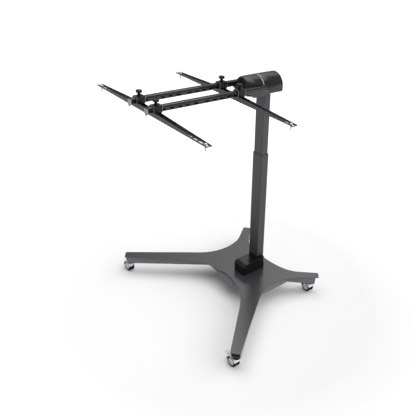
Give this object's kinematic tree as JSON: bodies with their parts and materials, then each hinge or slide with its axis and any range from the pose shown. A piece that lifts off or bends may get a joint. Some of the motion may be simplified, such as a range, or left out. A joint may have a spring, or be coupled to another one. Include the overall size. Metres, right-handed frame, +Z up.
{
  "type": "height-adjustable display stand",
  "caption": "Mobile display stand with a four-legged base on brake casters, a lifting column, and a tilting two-rail head carrying sliding slotted cross bars.",
  "frame": {"origin": "on the floor, under the middle of the overall box at rest; the column's axis is at x 0.024, y 0.278", "axes": "+Z up; -Y ahead, the way the rails reach out from the column; +X along the cross bars, to the right hand of someone standing ahead of the stand and facing it"},
  "size_m": [1.1874, 0.9984, 1.3782],
  "materials": {
    "base_plate": "semi-gloss powder coat",
    "frame": "satin powder coat",
    "column": "satin powder coat",
    "head_shell": "satin",
    "light_trim": "light grey satin",
    "rail": "gloss black",
    "bar": "satin black",
    "clamp": "satin black",
    "knob": "gloss black",
    "fastener": "zinc plated",
    "cover": "fine texture black",
    "glide": "natural",
    "drive": "cast housing",
    "steel": "ground",
    "nut": "turned",
    "caster_hood": "polished",
    "tyre": "matte",
    "caster_hub": "light grey",
    "pedal": "white"
  },
  "bodies": {
    "base": {"base_plate": "base_plate", "leg_channels": "frame", "frame_members": "frame", "leg_end_caps": "cover", "caster_stems": "cover", "front_flap": "frame", "column_foot_plate": "frame", "foot_bolts": "fastener", "tube_foot_block": "glide", "outer_tube": "column", "tube_collar": "column", "lift_gearmotor": "drive", "foot_cover": "cover", "control_box": "cover", "power_inlet": "cover"},
    "lift": {"inner_tube": "column", "glide_sleeve": "glide", "spindle_nut": "nut", "column_head": "steel"},
    "spindle": {"spindle": "steel"},
    "tilt": {"tilt_shaft": "steel", "tilt_cradle": "steel", "head_plate": "light_trim", "rear_shell": "head_shell", "rear_cap": "head_shell", "front_shell": "head_shell", "tilt_gearmotor": "drive", "rails": "rail", "rail_support": "column", "rail_end_plates": "light_trim"},
    "front_carriage": {"front_bar": "bar", "front_clamps": "clamp", "front_clamp_feet": "clamp", "front_screws": "fastener"},
    "rear_carriage": {"rear_bar": "bar", "rear_clamps": "clamp", "rear_clamp_feet": "clamp", "rear_screws": "fastener"},
    "knob_front_left": {"knob_front_left": "knob"},
    "knob_front_right": {"knob_front_right": "knob"},
    "knob_rear_left": {"knob_rear_left": "knob"},
    "knob_rear_right": {"knob_rear_right": "knob"},
    "swivel_front_left": {"caster_fl_hood": "caster_hood", "caster_fl_axle": "steel"},
    "wheels_front_left": {"caster_fl_tyres": "tyre", "caster_fl_hubs": "caster_hub"},
    "swivel_front_right": {"caster_fr_hood": "caster_hood", "caster_fr_axle": "steel"},
    "wheels_front_right": {"caster_fr_tyres": "tyre", "caster_fr_hubs": "caster_hub"},
    "swivel_rear_left": {"caster_rl_hood": "caster_hood", "caster_rl_axle": "steel"},
    "wheels_rear_left": {"caster_rl_tyres": "tyre", "caster_rl_hubs": "caster_hub"},
    "swivel_rear_right": {"caster_rr_hood": "caster_hood", "caster_rr_axle": "steel"},
    "wheels_rear_right": {"caster_rr_tyres": "tyre", "caster_rr_hubs": "caster_hub"},
    "pedal_front_left": {"caster_fl_pedal": "pedal"},
    "pedal_front_right": {"caster_fr_pedal": "pedal"}
  },
  "joints": [
    {"name": "column_lift", "type": "slide", "parent": "base", "child": "lift", "axis": [0, 0, 1], "range_m": [-0.3, 0.1]},
    {"name": "spindle_turn", "type": "hinge", "parent": "base", "child": "spindle", "pos_m": [0.02413, 0.27767, 0.2], "axis": [0, 0, 1], "range_deg": [-10800, 3600]},
    {"name": "head_tilt", "type": "hinge", "parent": "lift", "child": "tilt", "pos_m": [0.02413, 0.27767, 1.279], "axis": [-1, 0, 0], "range_deg": [-18.9, 36.1]},
    {"name": "front_bar_slide", "type": "slide", "parent": "tilt", "child": "front_carriage", "axis": [0, -0.9977, 0.068], "range_m": [-0.2, 0.022]},
    {"name": "rear_bar_slide", "type": "slide", "parent": "tilt", "child": "rear_carriage", "axis": [0, -0.9977, 0.068], "range_m": [-0.008, 0.2]},
    {"name": "knob_turn_front_left", "type": "hinge", "parent": "front_carriage", "child": "knob_front_left", "pos_m": [-0.04937, -0.44236, 1.37128], "axis": [0, 0.068, 0.9977], "range_deg": [0, 720]},
    {"name": "knob_turn_front_right", "type": "hinge", "parent": "front_carriage", "child": "knob_front_right", "pos_m": [0.09763, -0.44236, 1.37128], "axis": [0, 0.068, 0.9977], "range_deg": [0, 720]},
    {"name": "knob_turn_rear_left", "type": "hinge", "parent": "rear_carriage", "child": "knob_rear_left", "pos_m": [-0.04937, 0.05049, 1.33769], "axis": [0, 0.068, 0.9977], "range_deg": [0, 720]},
    {"name": "knob_turn_rear_right", "type": "hinge", "parent": "rear_carriage", "child": "knob_rear_right", "pos_m": [0.09763, 0.05049, 1.33769], "axis": [0, 0.068, 0.9977], "range_deg": [0, 720]},
    {"name": "swivel_turn_front_left", "type": "hinge", "parent": "base", "child": "swivel_front_left", "pos_m": [-0.50768, -0.3055, 0.07], "axis": [0, 0, 1], "continuous": true},
    {"name": "wheels_roll_front_left", "type": "hinge", "parent": "swivel_front_left", "child": "wheels_front_left", "pos_m": [-0.52968, -0.3055, 0.032], "axis": [0, 1, 0], "continuous": true},
    {"name": "swivel_turn_front_right", "type": "hinge", "parent": "base", "child": "swivel_front_right", "pos_m": [0.55593, -0.3055, 0.07], "axis": [0, 0, 1], "continuous": true},
    {"name": "wheels_roll_front_right", "type": "hinge", "parent": "swivel_front_right", "child": "wheels_front_right", "pos_m": [0.53393, -0.3055, 0.032], "axis": [0, 1, 0], "continuous": true},
    {"name": "swivel_turn_rear_left", "type": "hinge", "parent": "base", "child": "swivel_rear_left", "pos_m": [-0.28096, 0.45676, 0.07], "axis": [0, 0, 1], "continuous": true},
    {"name": "wheels_roll_rear_left", "type": "hinge", "parent": "swivel_rear_left", "child": "wheels_rear_left", "pos_m": [-0.30296, 0.45676, 0.032], "axis": [0, 1, 0], "continuous": true},
    {"name": "swivel_turn_rear_right", "type": "hinge", "parent": "base", "child": "swivel_rear_right", "pos_m": [0.32921, 0.45676, 0.07], "axis": [0, 0, 1], "continuous": true},
    {"name": "wheels_roll_rear_right", "type": "hinge", "parent": "swivel_rear_right", "child": "wheels_rear_right", "pos_m": [0.30721, 0.45676, 0.032], "axis": [0, 1, 0], "continuous": true},
    {"name": "brake_press_front_left", "type": "hinge", "parent": "swivel_front_left", "child": "pedal_front_left", "pos_m": [-0.56918, -0.3055, 0.046], "axis": [0, -1, 0], "range_deg": [0, 12]},
    {"name": "brake_press_front_right", "type": "hinge", "parent": "swivel_front_right", "child": "pedal_front_right", "pos_m": [0.49443, -0.3055, 0.046], "axis": [0, -1, 0], "range_deg": [0, 12]}
  ],
  "couplings": [
    {"joint": "spindle_turn", "follows": "column_lift", "rad_per_m": 628.32}
  ]
}
